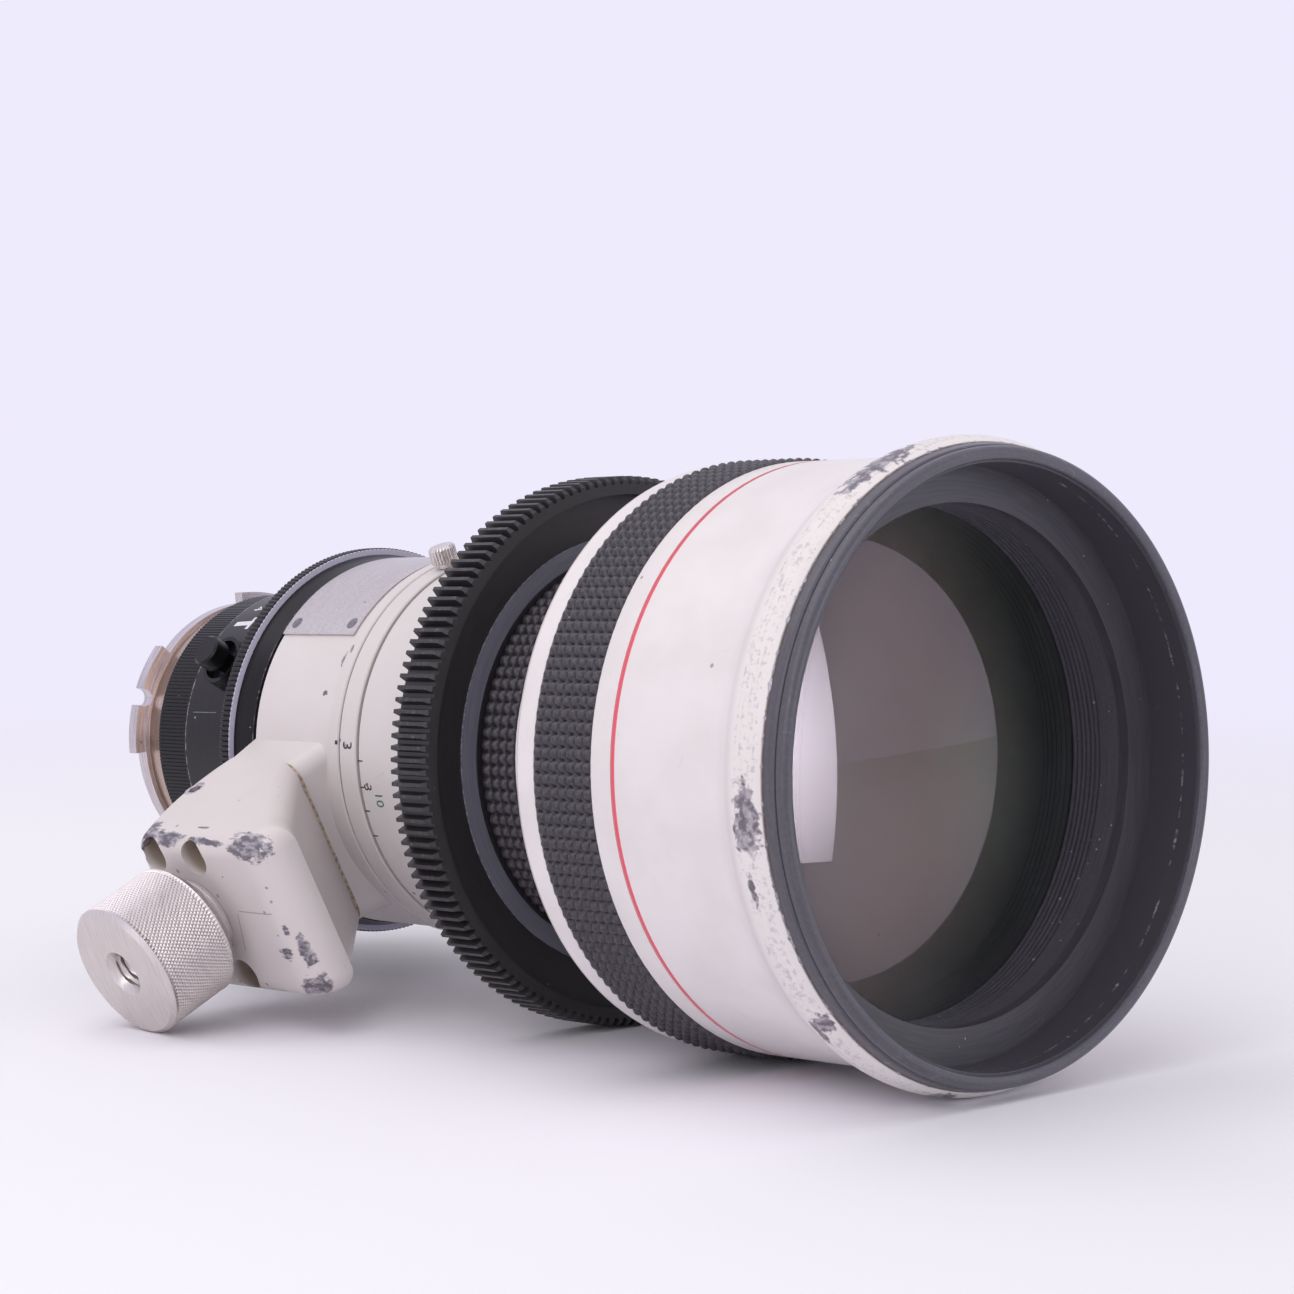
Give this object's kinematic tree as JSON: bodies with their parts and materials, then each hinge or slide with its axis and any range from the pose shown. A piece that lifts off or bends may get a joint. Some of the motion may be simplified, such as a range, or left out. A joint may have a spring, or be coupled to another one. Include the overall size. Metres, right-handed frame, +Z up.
{
  "type": "telephoto lens",
  "caption": "Long camera lens with a wide front barrel, geared focus ring, turning tripod collar and a notched bayonet mount, lying at rest.",
  "frame": {"origin": "middle of the box on the surface that the lens rests on", "axes": "+Y from the front lip to the camera mount, +Z up, the tripod foot out to -X"},
  "size_m": [0.1622, 0.2604, 0.1303],
  "materials": {
    "bumper_black": "worn satin black ring",
    "barrel_cream": "off-white enamel with chips and scuffs",
    "grip_rubber": "moulded with small blocks",
    "front_ring_grey": "dark grey satin ring",
    "inner_black": "matt black anodised",
    "optical_glass": "coated optical glass",
    "ring_black": "satin black anodised",
    "liner_grey": "grey moulded liner",
    "gear_black": "satin black anodised gear",
    "plate_silver": "bare brushed strip",
    "packing_tan": "thin tan sheet",
    "knob_aluminium": "satin turned and knurled",
    "bright_steel": "satin steel",
    "screw_steel": "small steel fasteners",
    "bronze_cone": "bronze-coloured anodised neck",
    "mount_steel": "worn steel mount",
    "blade_steel": "blackened spring steel"
  },
  "bodies": {
    "fixed_barrel": {"front_bumper": "bumper_black", "front_barrel": "barrel_cream", "front_grip": "grip_rubber", "front_ring": "front_ring_grey", "front_baffle": "inner_black", "front_glass": "optical_glass", "second_glass": "optical_glass", "glass_spacer": "inner_black", "third_glass": "optical_glass", "front_cell": "inner_black", "cell_ring": "inner_black", "shoulder_cone": "barrel_cream", "shoulder_screws": "screw_steel", "main_tube": "inner_black", "index_ring": "barrel_cream", "rear_band": "ring_black", "iris_tube": "inner_black", "iris_plate": "inner_black", "rear_cell": "inner_black", "rear_glass_a": "optical_glass", "rear_glass_b": "optical_glass", "sleeve_ring": "ring_black", "mount_cone": "bronze_cone", "mount_flange": "mount_steel", "mount_screws": "screw_steel"},
    "focus_ring": {"focus_sleeve": "barrel_cream", "focus_rubber": "grip_rubber", "focus_gear": "gear_black", "gear_liner": "liner_grey"},
    "focus_group": {"focus_cell": "inner_black", "focus_pins": "screw_steel", "focus_glass_a": "optical_glass", "focus_glass_b": "optical_glass", "focus_retainer": "inner_black"},
    "preset_ring": {"preset_ring": "barrel_cream"},
    "preset_screw": {"preset_screw": "knob_aluminium"},
    "tripod_collar": {"collar_ring": "barrel_cream", "name_plate": "plate_silver", "plate_screws": "screw_steel", "foot_packing": "packing_tan", "foot": "barrel_cream", "foot_screws": "screw_steel", "foot_set_screw": "screw_steel"},
    "clamp_knob": {"clamp_knob": "ring_black"},
    "tripod_adapter": {"adapter_washers": "bright_steel", "adapter_knob": "knob_aluminium", "adapter_stud": "bright_steel"},
    "iris_ring": {"toothed_ring": "ring_black", "t_ring": "ring_black", "iris_cam_ring": "inner_black", "cam_pin": "screw_steel"},
    "iris_lock_screw": {"iris_lock_screw": "ring_black"},
    "iris_blade_1": {"iris_blade_1": "blade_steel"},
    "iris_blade_2": {"iris_blade_2": "blade_steel"},
    "iris_blade_3": {"iris_blade_3": "blade_steel"},
    "iris_blade_4": {"iris_blade_4": "blade_steel"},
    "iris_blade_5": {"iris_blade_5": "blade_steel"},
    "iris_blade_6": {"iris_blade_6": "blade_steel"},
    "iris_blade_7": {"iris_blade_7": "blade_steel"},
    "iris_blade_8": {"iris_blade_8": "blade_steel"}
  },
  "joints": [
    {"name": "focus_turn", "type": "hinge", "parent": "fixed_barrel", "child": "focus_ring", "pos_m": [0.01595, -0.00733, 0.05985], "axis": [0, 0.9989, -0.0478], "range_deg": [0, 160]},
    {"name": "focus_slide", "type": "slide", "parent": "fixed_barrel", "child": "focus_group", "axis": [0, 0.9989, -0.0478], "range_m": [0, 0.01]},
    {"name": "preset_turn", "type": "hinge", "parent": "fixed_barrel", "child": "preset_ring", "pos_m": [0.01595, 0.02663, 0.05823], "axis": [0, 0.9989, -0.0478], "continuous": true},
    {"name": "preset_screw_turn", "type": "hinge", "parent": "preset_ring", "child": "preset_screw", "pos_m": [0.00116, 0.02861, 0.10174], "axis": [-0.3214, 0.0453, 0.9459], "range_deg": [-180, 180]},
    {"name": "collar_turn", "type": "hinge", "parent": "fixed_barrel", "child": "tripod_collar", "pos_m": [0.01595, 0.0467, 0.05727], "axis": [0, 0.9989, -0.0478], "continuous": true},
    {"name": "clamp_knob_turn", "type": "hinge", "parent": "tripod_collar", "child": "clamp_knob", "pos_m": [0.06569, 0.04884, 0.06218], "axis": [0.995, 0.0048, 0.1], "range_deg": [-180, 180]},
    {"name": "adapter_turn", "type": "hinge", "parent": "tripod_collar", "child": "tripod_adapter", "pos_m": [-0.05611, 0.04504, 0.02256], "axis": [-0.9007, -0.0208, -0.4339], "continuous": true},
    {"name": "iris_turn", "type": "hinge", "parent": "fixed_barrel", "child": "iris_ring", "pos_m": [0.01595, 0.08556, 0.05541], "axis": [0, 0.9989, -0.0478], "range_deg": [0, 70]},
    {"name": "iris_lock_turn", "type": "hinge", "parent": "iris_ring", "child": "iris_lock_screw", "pos_m": [-0.02033, 0.08517, 0.07661], "axis": [-0.8638, 0.0241, 0.5032], "range_deg": [-180, 180]},
    {"name": "blade_swing_1", "type": "hinge", "parent": "fixed_barrel", "child": "iris_blade_1", "pos_m": [-0.00387, 0.07511, 0.04634], "axis": [0, 0.9989, -0.0478], "range_deg": [0, 35]},
    {"name": "blade_swing_2", "type": "hinge", "parent": "fixed_barrel", "child": "iris_blade_2", "pos_m": [-0.00482, 0.07642, 0.06311], "axis": [0, 0.9989, -0.0478], "range_deg": [0, 35]},
    {"name": "blade_swing_3", "type": "hinge", "parent": "fixed_barrel", "child": "iris_blade_3", "pos_m": [0.00639, 0.07752, 0.07563], "axis": [0, 0.9989, -0.0478], "range_deg": [0, 35]},
    {"name": "blade_swing_4", "type": "hinge", "parent": "fixed_barrel", "child": "iris_blade_4", "pos_m": [0.0232, 0.07806, 0.07656], "axis": [0, 0.9989, -0.0478], "range_deg": [0, 35]},
    {"name": "blade_swing_5", "type": "hinge", "parent": "fixed_barrel", "child": "iris_blade_5", "pos_m": [0.03576, 0.07802, 0.06534], "axis": [0, 0.9989, -0.0478], "range_deg": [0, 35]},
    {"name": "blade_swing_6", "type": "hinge", "parent": "fixed_barrel", "child": "iris_blade_6", "pos_m": [0.03672, 0.07772, 0.04852], "axis": [0, 0.9989, -0.0478], "range_deg": [0, 35]},
    {"name": "blade_swing_7", "type": "hinge", "parent": "fixed_barrel", "child": "iris_blade_7", "pos_m": [0.0255, 0.07762, 0.03595], "axis": [0, 0.9989, -0.0478], "range_deg": [0, 35]},
    {"name": "blade_swing_8", "type": "hinge", "parent": "fixed_barrel", "child": "iris_blade_8", "pos_m": [0.00869, 0.07807, 0.03497], "axis": [0, 0.9989, -0.0478], "range_deg": [0, 35]}
  ],
  "couplings": [
    {"joint": "focus_slide", "follows": "focus_turn", "m_per_rad": 0.00358},
    {"joint": "blade_swing_1", "follows": "iris_turn", "ratio": 0.5},
    {"joint": "blade_swing_2", "follows": "iris_turn", "ratio": 0.5},
    {"joint": "blade_swing_3", "follows": "iris_turn", "ratio": 0.5},
    {"joint": "blade_swing_4", "follows": "iris_turn", "ratio": 0.5},
    {"joint": "blade_swing_5", "follows": "iris_turn", "ratio": 0.5},
    {"joint": "blade_swing_6", "follows": "iris_turn", "ratio": 0.5},
    {"joint": "blade_swing_7", "follows": "iris_turn", "ratio": 0.5},
    {"joint": "blade_swing_8", "follows": "iris_turn", "ratio": 0.5}
  ]
}
